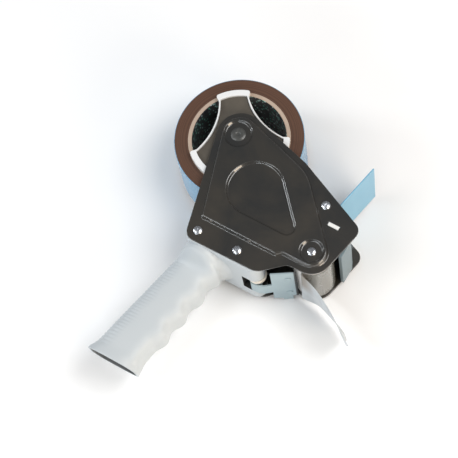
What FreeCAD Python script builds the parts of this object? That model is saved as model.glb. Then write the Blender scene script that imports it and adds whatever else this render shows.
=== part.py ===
import FreeCAD, Part
import math
import os
from FreeCAD import Vector

# Pistol-grip carton-tape dispenser, lying on its loading side. Millimetres.
# The tape hub's axis is the Z axis and the part rests on z = 0. The near side faces +Z,
# the front roller lies towards +X and the pistol grip points towards -Y.

# Tape roll and its card core
tape_width = 50.0
core_bore_radius = 38.1
core_wall = 3.7
roll_radius = 53.0
tape_thickness = 0.3

# Pressed side plates
sheet = 1.2
emboss_height = 3.0
recess_depth = 2.0
side_room = 2.0             # roll to the loading side's flange
near_room = 5.8             # roll to the near flange, holds the drum's rim

# Pressure roller
roller_radius = 16.0
rubber_wall = 3.0
roller_axle_radius = 3.0
bush_radius = 5.5
bush_length = 9.0
roller_side_gap = 1.2
roller_end_hollow = 6.0
web_gap = 0.3               # free tape to the roll and to the roller
web_end_angle = -93.0       # where the tape leaves the roller, under it

# Pivots, seen from +Z
hub_axis = Vector(0, 0, 0)
roller_axis = Vector(101.8, -59.8, 0)
flap_axis = Vector(92.1, -20.2, 0)
back_screw = Vector(13.7, -86.8, 0)
front_screw = Vector(49.5, -86.4, 0)
carrier_axis = Vector(67.0, -88.6, 0)

# Outline radii of the plates
nose_radius = 19.0
nose_centre = Vector(1, 1, 0)
back_corner_radius = 9.0
belly_centre = front_screw + Vector(17.0, 4.4, 0)
belly_radius = 13.0
roller_corner_radius = roller_radius + 2.0
front_corner = Vector(117.3, -30.5, 0)
front_corner_radius = 8.6
field_margin = 4.0          # width of the flat edge round the raised field
roller_field_margin = 5.2
near_notch = roller_axis + Vector(-8.3, -8.2 - roller_corner_radius, 0)
near_notch_radius = 8.0
load_notch = roller_axis + Vector(-10.0, -6.2 - roller_corner_radius, 0)
load_notch_radius = 7.4
field_jog = Vector(83.4, -75.7, 0)
field_jog_radius = 3.2
hub_recess_radius = 11.6
roller_recess_radius = 9.5
loading_gap = 9.0           # loading plate's edge to the roll

# Hub
axle_radius = 5.0
bush_wall = 2.0
drum_wall = 1.4
drum_flange_radius = core_bore_radius + 3.4
drum_rim_gap = 1.0          # drum's rim to the near flange
drum_start = 1.5            # drum's loading end inside the core
lobe_half_angle = 18.5
lobe_first_angle = 7.2
bay_inner_radius = 22.5     # nearest point of the drum's concave walls
core_clearance = 0.3
spider_drop = 2.0           # drum's rim to the insert's floor
spider_floor = 2.5
barrel_wall = 2.5
axle_collar = 3.0
axle_step = 1.0             # spigot's radius under the shaft's
knob_radius = 13.0
knob_height = 8.0
knob_lobes = 5
washer_thick = 1.5
tension_spring_height = 8.0
wire_radius = 0.7

# Front guard and wiper flap
guard_thick = 3.0
guard_slot_length = 10.2
guard_slot_height = 3.6
guard_slot_centre = Vector(106.1, -32.5, 0)
guard_drop = 13.5
flap_shaft_radius = 4.0
flap_height = 47.5
flap_thick = 1.2
flap_lean = 11.0
flap_reach = 8.6            # from the shaft to the standing strip
flap_bend = 2.5
knuckle_wall = 1.6
flap_spring_length = 16.0
flap_spring_room = 9.0      # half of the gap between the flap's two knuckles
flap_wire_radius = 0.65
flap_spring_turns = 4.5

# Blade carrier
carrier_sheet = 1.2
carrier_slope = 31.7
carrier_heel = roller_axis + Vector(-20.8, -14.4 - roller_radius, 0)
carrier_plate_length = 18.4
carrier_width = tape_width + 2.0
carrier_shift = 0.25        # carrier's middle above the tape's
finger_tab = (0.42, 0.86)   # where the finger tab starts and ends along the plate
arm_width = 16.0
arm_offset = 7.0            # arm's middle below the handle's middle
carrier_spring_height = 4.8
carrier_pin_radius = 2.0
blade_width = 9.0
blade_thick = 0.6
tooth_pitch = 1.65
tooth_depth = 1.5
tooth_overhang = 0.3
rivet_radius = 1.5
rivet_head_radius = 2.4
rivet_head_height = 0.5
rivet_inset = 0.22          # share of the carrier's width

# Handle
body_height = 18.4
body_nose_radius = 8.0
grip_length = 105.0
grip_top_width = 35.0
grip_bottom_width = 40.5
grip_end_flare = 2.4
grip_lean = 12.4            # back edge, degrees from the -Y direction
grip_thick = 33.0
groove_depth = 2.3
groove_pitch = 21.3
grip_wall = 3.6
hollow_depth = 60.0

# Fasteners and fits
screw_radius = 2.0
screw_head_radius = 3.7
screw_head_height = 1.9
screw_length = 11.0
running_fit = 0.05
loose_fit = 0.1
clear_gap = 0.4

# Levels along Z, from the resting plane upwards
load_outer = 0.0                                     # raised field of the loading plate
load_flange_outer = load_outer + emboss_height
load_flange_inner = load_flange_outer + sheet
tape_low = load_flange_inner + side_room
tape_high = tape_low + tape_width
near_flange_inner = tape_high + near_room
near_flange_outer = near_flange_inner + sheet
near_outer = near_flange_outer + emboss_height
load_recess_outer = load_outer + recess_depth
load_recess_inner = load_recess_outer + sheet
near_recess_outer = near_outer - recess_depth
near_recess_inner = near_recess_outer - sheet
middle = (load_flange_inner + near_flange_inner) / 2
grip_middle = middle - 1.0
drum_rim = tape_high + near_room - drum_rim_gap

# Pressed walls: share of the height, and how far the wall stands in at that height
wall_steps = [(0.0, -0.8), (0.08, -0.25), (0.35, 0.3), (0.7, 0.9), (0.9, 1.35), (1.0, 2.1)]
recess_steps = [(0.0, 1.7), (0.12, 1.0), (0.45, 0.5), (0.8, 0.0), (0.95, -0.4), (1.0, -0.9)]
skin_inset = 0.8            # sheet thickness seen sideways in a drafted wall


def polar(centre, radius, degrees):
    angle = math.radians(degrees)
    return centre + Vector(radius * math.cos(angle), radius * math.sin(angle), 0)


def belt_wire(circles, z):
    """Closed wire of tangent lines round circles, counter-clockwise; a negative radius is a hollow."""
    if len(circles) == 1:
        centre, radius = circles[0]
        return Part.Wire([Part.makeCircle(radius, Vector(centre.x, centre.y, z))])
    normals = []
    for index, (centre, radius) in enumerate(circles):
        next_centre, next_radius = circles[(index + 1) % len(circles)]
        step = Vector(next_centre.x - centre.x, next_centre.y - centre.y, 0)
        share = (radius - next_radius) / step.Length
        along = Vector(step).normalize()
        right = Vector(along.y, -along.x, 0)
        normals.append(along * share + right * math.sqrt(1 - share * share))
    edges = []
    for index, (centre, radius) in enumerate(circles):
        enter = normals[index - 1]
        leave = normals[index]
        start = math.atan2(enter.y, enter.x)
        turn = (math.atan2(leave.y, leave.x) - start) % (2 * math.pi)
        if radius < 0:
            turn -= 2 * math.pi
        middle_angle = start + turn / 2
        base = Vector(centre.x, centre.y, z)
        first = base + enter * radius
        halfway = base + Vector(math.cos(middle_angle), math.sin(middle_angle), 0) * radius
        last = base + leave * radius
        next_centre, next_radius = circles[(index + 1) % len(circles)]
        following = Vector(next_centre.x, next_centre.y, z) + leave * next_radius
        edges.append(Part.Arc(first, halfway, last).toShape())
        edges.append(Part.makeLine(last, following))
    return Part.Wire(edges)


def inset(circles, distance):
    return [(centre, radius - distance) for centre, radius in circles]


def prism(circles, low, high):
    return Part.Face(belt_wire(circles, low)).extrude(Vector(0, 0, high - low))


def stepped(circles, levels):
    """Solid whose belt outline steps in and out: levels are (z, inset)."""
    wires = [belt_wire(inset(circles, distance), z) for z, distance in levels]
    return Part.makeLoft(wires, True, True)


def cylinder(centre, radius, low, high):
    return Part.makeCylinder(radius, high - low, Vector(centre.x, centre.y, low))


def tube(centre, inner, outer, low, high):
    return cylinder(centre, outer, low, high).cut(cylinder(centre, inner, low - 1, high + 1))


def box(low, high):
    size = high - low
    return Part.makeBox(size.x, size.y, size.z, low)


def fused(shapes):
    whole = shapes[0]
    for shape in shapes[1:]:
        whole = whole.fuse(shape)
    return whole.removeSplitter()


def polygon_prism(points, low, high):
    ring = [Vector(point.x, point.y, low) for point in points]
    return Part.Face(Part.makePolygon(ring + [ring[0]])).extrude(Vector(0, 0, high - low))


def coil(centre, radius, wire, low, high, turns):
    """Round-wire compression or torsion coil between two levels."""
    rise = high - low - 2 * wire
    path = Part.Wire(Part.makeHelix(rise / turns, rise, radius).Edges)
    section = Part.Wire([Part.makeCircle(wire, Vector(radius, 0, 0), Vector(0, 1, rise / turns / 8))])
    spring = path.makePipeShell([section], True, True)
    spring.translate(Vector(centre.x, centre.y, low + wire))
    return spring


# ---------------------------------------------------------------- side plates

def lower_outline():
    """Lower and front edge, the same on both plates, from the back corner to the front corner."""
    return [
        (back_screw, back_corner_radius),
        (belly_centre, belly_radius),
        (near_notch, -near_notch_radius),
        (roller_axis, roller_corner_radius),
        (front_corner, front_corner_radius),
    ]


def near_outline():
    bend = (Vector(49.4, -23.9, 0), 30.0)
    return [(nose_centre, nose_radius)] + lower_outline() + [bend]


def near_field():
    return [
        (nose_centre, nose_radius - field_margin),
        (Vector(12.9, -72.8, 0), 3.3),
        (Vector(77.0, -72.9, 0), 3.2),
        (field_jog, -field_jog_radius),
        (roller_axis, roller_corner_radius - roller_field_margin),
        (Vector(44.6, -38.5, 0), 40.0),
    ]


def load_edge_radius():
    return roll_radius + loading_gap


def load_outline():
    cut = load_edge_radius()
    low_corner = (polar(hub_axis, cut + 6.4, -85.2), 6.0)
    top_corner = (polar(hub_axis, cut + 7.0, -7.2), 6.0)
    lower = lower_outline()
    lower[2] = (load_notch, -load_notch_radius)
    return [low_corner] + lower + [top_corner, (hub_axis, -cut)]


def load_field():
    cut = load_edge_radius() + field_margin + 1.0
    return [
        (polar(hub_axis, cut + 4.0, -79.0), 3.6),
        (Vector(77.0, -72.7, 0), 3.2),
        (field_jog, -field_jog_radius),
        (roller_axis, roller_corner_radius - roller_field_margin),
        (polar(hub_axis, cut + 5.0, -12.0), 4.0),
        (hub_axis, -cut),
    ]


def recess_outlines():
    teardrop = [(Vector(36.5, -35.0, 0), 23.5), (Vector(74.5, -51.5, 0), 7.0)]
    return {
        "hub": [(hub_axis, hub_recess_radius)],
        "teardrop": teardrop,
        "roller": [(roller_axis, roller_recess_radius)],
    }


def pressed_plate(outline, field, recesses):
    """Plate with its flange on z = 0..sheet and its raised field towards +Z."""
    top = sheet + emboss_height
    floor = top - recess_depth
    rise = [(sheet + share * emboss_height, step) for share, step in wall_steps]
    plate = prism(outline, 0, sheet).fuse(stepped(field, rise))
    under = [(-0.01, wall_steps[0][1] + skin_inset)]
    under += [(share * emboss_height, step + skin_inset) for share, step in wall_steps[1:]]
    hollow = stepped(field, under)
    for circles in recesses:
        levels = [(floor - sheet + share * recess_depth, step - skin_inset) for share, step in recess_steps]
        hollow = hollow.cut(stepped(circles, levels))
    plate = plate.cut(hollow)
    for circles in recesses:
        levels = [(floor + share * recess_depth, step) for share, step in recess_steps]
        levels.append((top + 0.5, recess_steps[-1][1]))
        plate = plate.cut(stepped(circles, levels))
    return plate


def guard_slot(low, high):
    half = Vector(guard_slot_length / 2, guard_slot_height / 2, 0)
    return box(guard_slot_centre - half + Vector(0, 0, low), guard_slot_centre + half + Vector(0, 0, high))


def screw_places():
    return [back_screw, front_screw, flap_axis]


def near_side_plate():
    recesses = recess_outlines()
    plate = pressed_plate(near_outline(), near_field(), list(recesses.values()))
    plate.translate(Vector(0, 0, near_flange_inner))
    for place in screw_places() + [roller_axis]:
        plate = plate.cut(cylinder(place, screw_radius + loose_fit, near_flange_inner - 1, near_outer + 1))
    axle_hole = axle_radius - axle_step + loose_fit
    plate = plate.cut(cylinder(hub_axis, axle_hole, near_flange_inner - 1, near_outer + 1))
    return plate.cut(guard_slot(near_flange_inner - 1, near_outer + 1))


def far_side_plate():
    recesses = recess_outlines()
    plate = pressed_plate(load_outline(), load_field(), [recesses["roller"]])
    plate = plate.mirror(Vector(0, 0, 0), Vector(0, 0, 1))
    plate.translate(Vector(0, 0, load_flange_inner))
    for place in screw_places() + [roller_axis]:
        plate = plate.cut(cylinder(place, screw_radius + loose_fit, load_outer - 1, load_flange_inner + 1))
    return plate.cut(guard_slot(load_outer - 1, load_flange_inner + 1))


# ---------------------------------------------------------------- screws

def pan_screw(place, seat, length, up):
    """Pan-head screw with its head above the seat level, cross recess in the head."""
    shoulder = 0.45 * screw_head_height
    profile = Part.makePolygon([
        Vector(0, 0, -length), Vector(screw_radius - 0.5, 0, -length), Vector(screw_radius, 0, -length + 0.8),
        Vector(screw_radius, 0, 0), Vector(screw_head_radius, 0, 0), Vector(screw_head_radius, 0, shoulder),
        Vector(0.62 * screw_head_radius, 0, screw_head_height), Vector(0, 0, screw_head_height),
        Vector(0, 0, -length)])
    screw = Part.Face(profile).revolve(Vector(0, 0, 0), Vector(0, 0, 1), 360)
    for along, across in ((1.9, 0.45), (0.45, 1.9)):
        low = Vector(-along, -across, 0.45 * screw_head_height)
        high = Vector(along, across, screw_head_height + 1)
        screw = screw.cut(box(low, high))
    if not up:
        screw.rotate(Vector(0, 0, 0), Vector(1, 0, 0), 180)
    screw.translate(Vector(place.x, place.y, seat))
    return screw


def near_screws():
    screws = [pan_screw(place, near_flange_outer, screw_length, True) for place in screw_places()]
    return Part.makeCompound(screws)


def far_screws():
    screws = [pan_screw(place, load_flange_outer, screw_length, False) for place in screw_places()]
    return Part.makeCompound(screws)


def roller_screws():
    near = pan_screw(roller_axis, near_recess_outer, screw_length, True)
    far = pan_screw(roller_axis, load_recess_outer, screw_length, False)
    return Part.makeCompound([near, far])


# ---------------------------------------------------------------- handle

def grip_ring(y, back, front, thick):
    """Rounded section of the grip in a plane across its length."""
    centre = (back + front) / 2
    half = (front - back) / 2
    power = 2.0 / 2.5
    points = []
    count = 20
    for index in range(count):
        angle = 2 * math.pi * index / count
        across = math.copysign(abs(math.cos(angle)) ** power, math.cos(angle))
        deep = math.copysign(abs(math.sin(angle)) ** power, math.sin(angle))
        points.append(Vector(centre + half * across, y, grip_middle + thick / 2 * deep))
    curve = Part.BSplineCurve()
    curve.interpolate(Points=points, PeriodicFlag=True)
    return Part.Wire([curve.toShape()])


def grip_top():
    return back_screw.y - back_corner_radius - 4.0


def grip_back(y):
    top = grip_top()
    lean = math.tan(math.radians(grip_lean))
    return back_screw.x - back_corner_radius + 1.0 + (y - top) * lean


def grip_front_mean(y):
    share = (grip_top() - y) / grip_length
    return grip_back(y) + grip_top_width + share * (grip_bottom_width - grip_top_width)


def finger_bulge(y):
    """Wave of the finger grooves along the front edge; below the last groove it stays hollow."""
    first_ridge = grip_top() - 1.3 * groove_pitch
    last_groove = first_ridge - 2.5 * groove_pitch
    if y < last_groove:
        return -groove_depth / 2
    return groove_depth / 2 * math.cos(2 * math.pi * (first_ridge - y) / groove_pitch)


def grip_solid():
    top = grip_top()
    bottom = top - grip_length
    step = groove_pitch / 6
    end_zone = 12.0
    count = int((grip_length - end_zone) / step)
    rings = [grip_ring(top + 8.0, grip_back(top) + 2.0, grip_front_mean(top) + 4.0, grip_thick + 3.0)]
    for index in range(count):
        y = top - index * step
        rings.append(grip_ring(y, grip_back(y), grip_front_mean(y) + finger_bulge(y), grip_thick))
    for rise, flare in ((8.0, 0.2), (3.0, 0.7), (0.0, 1.0)):
        y = bottom + rise
        spread = flare * grip_end_flare
        front = grip_front_mean(y) - groove_depth / 2 + flare * groove_depth / 2 + spread
        rings.append(grip_ring(y, grip_back(y) - spread, front, grip_thick + spread))
    return Part.makeLoft(rings, True, True)


def grip_hollow():
    bottom = grip_top() - grip_length
    rings = []
    for y in (bottom - 1.0, bottom + hollow_depth / 2, bottom + hollow_depth):
        level = max(y, bottom)
        back = grip_back(level) + grip_wall
        front = grip_front_mean(level) - groove_depth / 2 - grip_wall
        rings.append(grip_ring(y, back, front, grip_thick - 2 * grip_wall))
    return Part.makeLoft(rings, True, False)


def arm_slot():
    """Slot in the handle's front end, where the blade carrier's arm swings."""
    slot_low = arm_middle() - arm_width / 2 - clear_gap
    slot_high = arm_middle() + arm_width / 2 + carrier_spring_height + clear_gap
    corner = carrier_axis + Vector(-body_nose_radius - 1.5, -2 * body_height, slot_low)
    opposite = carrier_axis + Vector(3 * body_nose_radius, 2 * body_height, slot_high)
    return box(corner, opposite)


def handle():
    stadium = [(back_screw - Vector(0, 0.5, 0), body_height / 2), (carrier_axis, body_nose_radius)]
    body = prism(stadium, load_flange_inner, near_flange_inner)
    shape = fused([body, grip_solid()])
    shape = shape.cut(grip_hollow())
    shape = shape.cut(arm_slot())
    shape = shape.cut(cylinder(carrier_axis, carrier_pin_radius, 0, near_outer))
    depth = screw_length + 1.0
    for place in (back_screw, front_screw):
        hole = screw_radius + loose_fit
        shape = shape.cut(cylinder(place, hole, near_flange_outer - depth, near_outer))
        shape = shape.cut(cylinder(place, hole, load_outer, load_flange_outer + depth))
    return shape


# ---------------------------------------------------------------- hub

def knob_levels():
    """Stack at the loading end of the axle: knob, plain washer, spring, friction washer."""
    knob_low = load_outer + 0.8
    knob_high = knob_low + knob_height
    washer_high = knob_high + loose_fit + washer_thick
    spring_high = washer_high + tension_spring_height
    return knob_low, knob_high, washer_high, spring_high, spring_high + washer_thick


def bush_levels():
    return knob_levels()[4] + loose_fit, near_flange_inner - 0.6


def hub_axle():
    shaft = cylinder(hub_axis, axle_radius, load_outer, near_recess_inner)
    collar = cylinder(hub_axis, axle_radius + axle_collar, near_flange_inner - clear_gap, near_recess_inner)
    spigot = cylinder(hub_axis, axle_radius - axle_step, near_recess_inner, near_recess_outer)
    head = Part.makeCone(axle_radius + 1.2, axle_radius - axle_step, 1.1, Vector(0, 0, near_recess_outer))
    dimple = Part.makeCone(1.0, 2.4, 0.8, Vector(0, 0, near_recess_outer + 0.4))
    return fused([shaft, collar, spigot, head]).cut(dimple)


def hub_bush():
    low, high = bush_levels()
    return tube(hub_axis, axle_radius + running_fit, axle_radius + bush_wall, low, high)


def drum_wire(offset, z):
    """Three lobes joined by concave arcs; a positive offset makes it smaller."""
    outer = core_bore_radius - core_clearance - offset
    bay = bay_inner_radius - offset
    half = lobe_half_angle - math.degrees(0.5 * offset / outer)
    edges = []
    for lobe in range(3):
        angle = lobe_first_angle + 120 * lobe
        base = Vector(0, 0, z)
        first = polar(base, outer, angle - half)
        crown = polar(base, outer, angle)
        last = polar(base, outer, angle + half)
        hollow = polar(base, bay, angle + 60)
        following = polar(base, outer, angle + 120 - half)
        edges.append(Part.Arc(first, crown, last).toShape())
        edges.append(Part.Arc(last, hollow, following).toShape())
    return Part.Wire(edges)


def drum_prism(offset, low, high):
    return Part.Face(drum_wire(offset, low)).extrude(Vector(0, 0, high - low))


def drum_flange():
    """Ears over the core's near end, one on each lobe."""
    low = tape_high + clear_gap / 2
    ears = cylinder(hub_axis, drum_flange_radius, low, drum_rim)
    reach = drum_flange_radius + 5
    kept = []
    for lobe in range(3):
        angle = lobe_first_angle + 120 * lobe
        corners = [Vector(0, 0, 0), polar(hub_axis, reach, angle - lobe_half_angle - 1.5),
                   polar(hub_axis, reach * 1.2, angle), polar(hub_axis, reach, angle + lobe_half_angle + 1.5)]
        kept.append(polygon_prism(corners, low, drum_rim))
    return ears.common(fused(kept))


def hub_drum():
    low = tape_low + drum_start
    shell = fused([drum_prism(0, low, drum_rim), drum_flange()])
    return shell.cut(drum_prism(drum_wall, low - 1, drum_rim + 1))


def hub_spider():
    """Moulded insert: floor plate just under the drum's rim, and the barrel on the bush."""
    low, high = bush_levels()
    floor_high = drum_rim - spider_drop
    floor = drum_prism(drum_wall, floor_high - spider_floor, floor_high)
    barrel = cylinder(hub_axis, axle_radius + bush_wall + barrel_wall, low, high)
    back_web = drum_prism(drum_wall, low + 2.0, low + 4.0)
    shape = fused([floor, barrel, back_web])
    return shape.cut(cylinder(hub_axis, axle_radius + bush_wall, low - 1, high + 1))


def friction_washer():
    low = knob_levels()[3]
    return tube(hub_axis, axle_radius + running_fit, axle_radius + 5.0, low, low + washer_thick)


def spring_washer():
    high = knob_levels()[2]
    return tube(hub_axis, axle_radius + running_fit, axle_radius + 4.0, high - washer_thick, high)


def tension_spring():
    low, high = knob_levels()[2], knob_levels()[3]
    return coil(hub_axis, axle_radius + 2.0, wire_radius, low, high, 3.5)


def tension_knob():
    low, high = knob_levels()[0], knob_levels()[1]
    body = cylinder(hub_axis, 0.78 * knob_radius, low, high)
    lobe_turn = 360 / knob_lobes
    grips = [cylinder(polar(hub_axis, 0.72 * knob_radius, lobe_turn * lobe), 0.28 * knob_radius, low, high)
             for lobe in range(knob_lobes)]
    return fused([body] + grips).cut(cylinder(hub_axis, axle_radius + running_fit, low - 1, high + 1))


def core_outer_radius():
    return core_bore_radius + core_wall


def tape_core():
    return tube(hub_axis, core_bore_radius, core_outer_radius(), tape_low, tape_high)


def tape_roll():
    return tube(hub_axis, core_outer_radius(), roll_radius, tape_low, tape_high)


# ---------------------------------------------------------------- tape path

def web_tangent():
    """Direction of the free tape: an inner tangent from under the roll to the top of the roller."""
    roll = roll_radius + web_gap
    roller = roller_radius + web_gap
    span = roller_axis - hub_axis
    bearing = math.degrees(math.atan2(span.y, span.x))
    swing = math.degrees(math.asin((roll + roller) / span.Length))
    return bearing + swing


def ribbon(points, thick, low, high):
    """Thin strip along straight runs, seen edge on; thick is measured to the left of its path."""
    left = []
    for index, point in enumerate(points):
        before = points[max(index - 1, 0)]
        after = points[min(index + 1, len(points) - 1)]
        along = Vector(after - before).normalize()
        left.append(point + Vector(-along.y, along.x, 0) * thick)
    return polygon_prism(points + left[::-1], low, high)


def tape_web():
    direction = web_tangent()
    roller = roller_radius + web_gap
    start = polar(hub_axis, roll_radius + web_gap + tape_thickness, direction - 90)
    points = [start]
    first = direction + 90
    steps = 24
    for index in range(steps + 1):
        angle = first + (web_end_angle - first) * index / steps
        points.append(polar(roller_axis, roller, angle))
    return ribbon(points, tape_thickness, tape_low, tape_high)


def tail_path():
    """The loose end: down from the roller, a tight turn, then out to the front."""
    start = polar(roller_axis, roller_radius + web_gap, web_end_angle)
    turn = start + Vector(0.3, -1.6, 0)
    return [start + Vector(0.2, -0.7, 0), turn, turn + Vector(1.4, -1.2, 0), turn + Vector(9.4, -2.6, 0),
            turn + Vector(16.4, -3.9, 0), turn + Vector(24.4, -7.2, 0), turn + Vector(35.4, -13.3, 0),
            turn + Vector(41.4, -15.6, 0), turn + Vector(49.0, -21.4, 0), turn + Vector(61.8, -31.8, 0)]


def tape_tail():
    return ribbon(tail_path(), tape_thickness, tape_low, tape_high)


# ---------------------------------------------------------------- roller

def roller_span():
    return load_flange_inner + roller_side_gap, near_flange_inner - roller_side_gap


def roller_axle():
    shaft = cylinder(roller_axis, roller_axle_radius, load_recess_inner, near_recess_inner)
    depth = screw_length - sheet + 1.0
    hole = screw_radius + loose_fit
    shaft = shaft.cut(cylinder(roller_axis, hole, near_recess_inner - depth, near_recess_inner + 1))
    return shaft.cut(cylinder(roller_axis, hole, load_recess_inner - 1, load_recess_inner + depth))


def roller_core():
    low, high = roller_span()
    bore = bush_radius
    rim = roller_radius - rubber_wall
    shape = cylinder(roller_axis, rim, low, high).cut(cylinder(roller_axis, bore, low - 1, high + 1))
    for end_low, end_high in ((low - 1, low + roller_end_hollow), (high - roller_end_hollow, high + 1)):
        shape = shape.cut(tube(roller_axis, bore + 2.0, rim - 2.0, end_low, end_high))
    return shape


def roller_sleeve():
    low, high = roller_span()
    return tube(roller_axis, roller_radius - rubber_wall, roller_radius, low, high)


def roller_bushes():
    low, high = roller_span()
    inner = roller_axle_radius + running_fit
    ends = [tube(roller_axis, inner, bush_radius, low, low + bush_length),
            tube(roller_axis, inner, bush_radius, high - bush_length, high)]
    return Part.makeCompound(ends)


def roller_washers():
    low, high = roller_span()
    inner = roller_axle_radius + running_fit
    outer = bush_radius + 1.5
    ends = [tube(roller_axis, inner, outer, load_recess_inner, low - loose_fit),
            tube(roller_axis, inner, outer, high + loose_fit, near_recess_inner)]
    return Part.makeCompound(ends)


# ---------------------------------------------------------------- front guard and flap

def guard_corner():
    return Vector(front_corner.x, guard_slot_centre.y - 0.5, 0)


def front_guard():
    """Moulded guard in front of the roller, held by a tab in each plate's slot."""
    low = load_flange_inner + clear_gap
    high = near_flange_inner - clear_gap
    start = guard_slot_centre + Vector(-guard_slot_length / 2 + 0.3, 0, 0)
    outer = guard_corner() + Vector(roller_corner_radius - 12.8, -5.6, 0)
    toe = outer - Vector(0, guard_drop, 0)
    half = guard_thick / 2
    path = [start, guard_corner() + Vector(-1.5, 0.5, 0), guard_corner() + Vector(3.4, -1.6, 0), outer, toe]
    centred = [point + Vector(0, -half, 0) for point in path[:2]]
    centred.append(path[2] + Vector(-half * 0.7, -half * 0.7, 0))
    centred += [point + Vector(-half, 0, 0) for point in path[3:]]
    shape = ribbon(centred, guard_thick, low, high)
    tab_half = Vector(guard_slot_length / 2 - 0.3, guard_slot_height / 2 - 0.3, 0)
    tab_low = guard_slot_centre - tab_half + Vector(0, 0, load_flange_outer - 0.6)
    tab_high = guard_slot_centre + tab_half + Vector(0, 0, near_flange_outer + 0.6)
    return fused([shape, box(tab_low, tab_high)])


def flap_shaft():
    shaft = cylinder(flap_axis, flap_shaft_radius, load_flange_inner, near_flange_inner)
    hole = screw_radius + loose_fit
    depth = screw_length - sheet + 1.0
    shaft = shaft.cut(cylinder(flap_axis, hole, near_flange_inner - depth, near_flange_inner + 1))
    return shaft.cut(cylinder(flap_axis, hole, load_flange_inner - 1, load_flange_inner + depth))


def flap_span():
    return load_flange_inner + 0.8, near_flange_inner - 1.6


def flap():
    low, high = flap_span()
    bore = flap_shaft_radius + running_fit
    outer = flap_shaft_radius + knuckle_wall
    knuckle = tube(flap_axis, bore, outer, low, high)
    room = flap_spring_room
    knuckle = knuckle.cut(cylinder(flap_axis, outer + 1, middle - room, middle + room))
    lean = math.radians(flap_lean)
    up = Vector(math.sin(lean), math.cos(lean), 0)
    foot = flap_axis + Vector(flap_reach, 0, 0)
    bend = 0.3 * flap_bend
    path = [flap_axis + Vector(bore + 0.2, -flap_thick / 2, 0), foot + Vector(-flap_bend, -flap_thick / 2, 0),
            foot + Vector(-bend, bend - flap_thick / 2, 0), foot + up * flap_bend,
            foot + up * flap_height]
    strip = ribbon(path, flap_thick, low, high)
    window = box(flap_axis + Vector(0, -outer - 1, middle - flap_spring_room),
                 flap_axis + Vector(outer + 0.6, outer + 1, middle + flap_spring_room))
    return fused([knuckle, strip.cut(window)])


def flap_spring():
    low, high = middle - flap_spring_length / 2, middle + flap_spring_length / 2
    radius = flap_shaft_radius + flap_wire_radius + clear_gap
    return coil(flap_axis, radius, flap_wire_radius, low, high, flap_spring_turns)


def flap_washers():
    low, high = flap_span()
    inner = flap_shaft_radius + running_fit
    outer = flap_shaft_radius + 3.0
    ends = [tube(flap_axis, inner, outer, load_flange_inner, low - loose_fit),
            tube(flap_axis, inner, outer, high + loose_fit, near_flange_inner)]
    return Part.makeCompound(ends)


# ---------------------------------------------------------------- blade carrier

def slope_vectors():
    angle = math.radians(carrier_slope)
    along = Vector(math.cos(angle), math.sin(angle), 0)
    return along, Vector(-along.y, along.x, 0)


def carrier_span():
    centre = (tape_low + tape_high) / 2 + carrier_shift
    return centre - carrier_width / 2, centre + carrier_width / 2


def arm_middle():
    return middle - arm_offset


def blade_carrier():
    """Sloped plate below the roller, a finger tab at the loading side and a pivot arm with its knuckle."""
    along, normal = slope_vectors()
    low, high = carrier_span()
    heel = carrier_heel
    toe = heel + along * carrier_plate_length
    plate = polygon_prism([heel, toe, toe + normal * carrier_sheet, heel + normal * carrier_sheet], low, high)
    tab_start = heel + along * (finger_tab[0] * carrier_plate_length)
    tab_end = heel + along * (finger_tab[1] * carrier_plate_length)
    raised = normal * carrier_sheet
    tab = polygon_prism([tab_start, tab_end, tab_end + raised, tab_start + raised], load_outer + 0.6, low)
    arm_low = arm_middle() - arm_width / 2
    arm_high = arm_middle() + arm_width / 2
    outer = carrier_pin_radius + running_fit + carrier_sheet
    path = [carrier_axis + Vector(0, -outer, 0), Vector(heel.x - 4.0, carrier_axis.y - outer, 0),
            heel + along * 1.2]
    arm = ribbon(path, carrier_sheet, arm_low, arm_high)
    knuckle = cylinder(carrier_axis, outer, arm_low, arm_high)
    shape = fused([plate, tab, arm, knuckle])
    shape = shape.cut(cylinder(carrier_axis, carrier_pin_radius + running_fit, arm_low - 1, arm_high + 1))
    for place in rivet_places():
        shape = shape.cut(rivet_hole(place, normal))
    return shape


def rivet_hole(place, normal):
    reach = 3.0
    return Part.makeCylinder(rivet_radius, 2 * reach, place - normal * reach, normal)


def rivet_places():
    along, normal = slope_vectors()
    low, high = carrier_span()
    base = carrier_heel + along * (carrier_plate_length - 0.55 * blade_width)
    edge = rivet_inset * carrier_width
    return [base + Vector(0, 0, low + edge), base + Vector(0, 0, high - edge)]


def blade():
    """Serrated strip on the carrier's roller side, its teeth just past the front edge."""
    along, normal = slope_vectors()
    low, high = carrier_span()
    overhang = tooth_depth + tooth_overhang
    root = carrier_heel + along * (carrier_plate_length + overhang - blade_width) + normal * carrier_sheet
    edge = blade_width - tooth_depth
    count = int((high - low) / tooth_pitch)
    pitch = (high - low) / count
    outline = [root + Vector(0, 0, low), root + Vector(0, 0, high)]
    for index in range(count, 0, -1):
        outline.append(root + along * edge + Vector(0, 0, low + pitch * index))
        outline.append(root + along * (edge + tooth_depth) + Vector(0, 0, low + pitch * (index - 0.5)))
    outline.append(root + along * edge + Vector(0, 0, low))
    strip = Part.Face(Part.makePolygon(outline + [outline[0]])).extrude(normal * blade_thick)
    for place in rivet_places():
        strip = strip.cut(rivet_hole(place, normal))
    return strip


def blade_rivets():
    along, normal = slope_vectors()
    rivets = []
    for place in rivet_places():
        over = place + normal * (carrier_sheet + blade_thick)
        shank = Part.makeCylinder(rivet_radius, carrier_sheet + blade_thick, place, normal)
        under = place - normal * rivet_head_height
        lower = Part.makeCylinder(rivet_head_radius, rivet_head_height, under, normal)
        upper = Part.makeCylinder(rivet_head_radius, rivet_head_height, over, normal)
        rivets.append(fused([shank, lower, upper]))
    return Part.makeCompound(rivets)


def carrier_pin():
    return cylinder(carrier_axis, carrier_pin_radius, load_flange_inner, near_flange_inner)


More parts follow.
